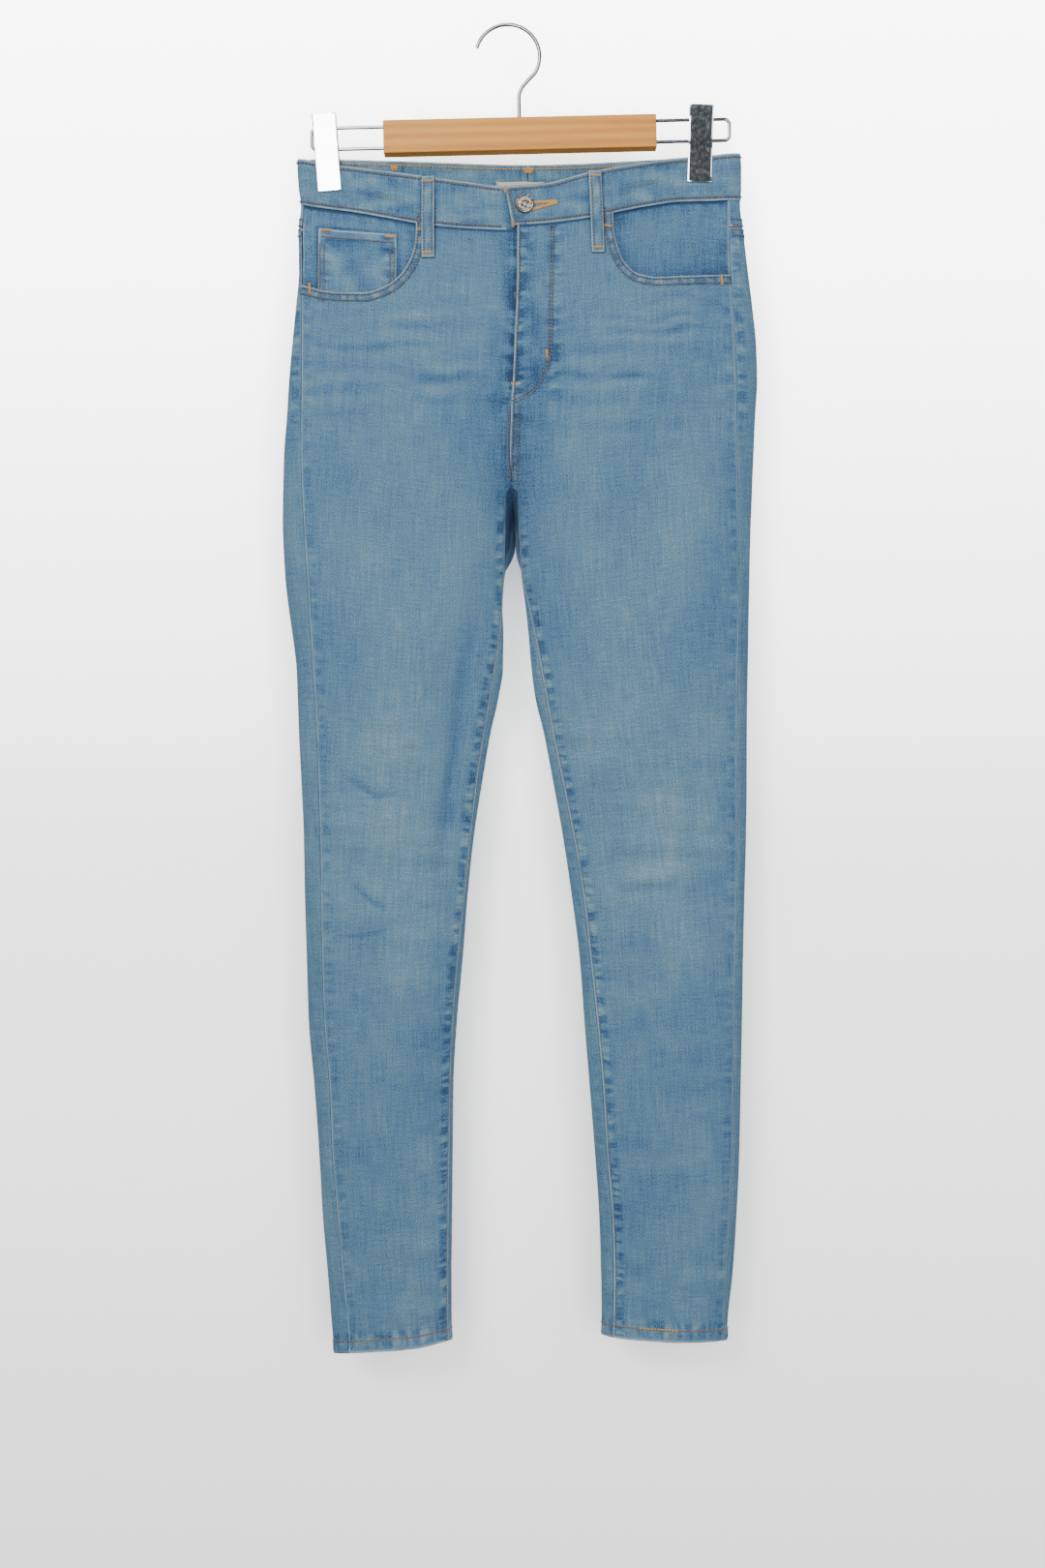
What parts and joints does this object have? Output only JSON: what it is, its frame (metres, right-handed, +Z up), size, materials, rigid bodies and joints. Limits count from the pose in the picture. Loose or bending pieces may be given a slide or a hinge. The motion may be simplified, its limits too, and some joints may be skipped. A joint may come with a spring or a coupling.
{
  "type": "skinny jeans on a clip hanger",
  "caption": "High-waisted light-blue skinny jeans with belt loops, coin pocket and zip fly, hung by the waistband from a wooden clip hanger.",
  "frame": {"origin": "the inside of the top of the hook's bend, where the hanger rests on a knob or rail", "axes": "+Z up, the front of the jeans faces -Y, +X towards the wearer's left"},
  "size_m": [0.4413, 0.057, 1.2364],
  "materials": {
    "denim": "matt, faded light-blue stretch twill",
    "thread_gold": "polyester topstitching thread",
    "thread_tonal": "polyester topstitching thread",
    "label_tape": "bare cotton tape",
    "zip_tape": "woven polyester tape",
    "zip_brass": "matt brass",
    "antique_nickel": "antique nickel, dark in the recesses",
    "lotus_wood": "satin lacquer",
    "chrome": "polished plate"
  },
  "bodies": {
    "root": {"front_right": "denim", "front_left": "denim", "back_right": "denim", "back_left": "denim", "yoke_right": "denim", "yoke_left": "denim", "waistband_right": "denim", "waistband_left": "denim", "facing_right": "denim", "facing_left": "denim", "coin_pocket": "denim", "back_pocket_right": "denim", "back_pocket_left": "denim", "loop_front_right": "denim", "loop_front_left": "denim", "loop_back_right": "denim", "loop_back_centre": "denim", "loop_back_left": "denim", "fly_shield": "denim", "label": "label_tape", "zip_tape": "zip_tape", "zip_chain": "zip_brass", "zip_slider": "zip_brass", "button": "antique_nickel", "hanger_bar": "lotus_wood", "hanger_wire_right": "chrome", "hanger_wire_left": "chrome", "hanger_hook": "chrome", "clip_right_front": "chrome", "clip_right_back": "chrome", "clip_right_pivot": "chrome", "clip_left_front": "chrome", "clip_left_back": "chrome", "clip_left_pivot": "chrome"}
  },
  "joints": []
}
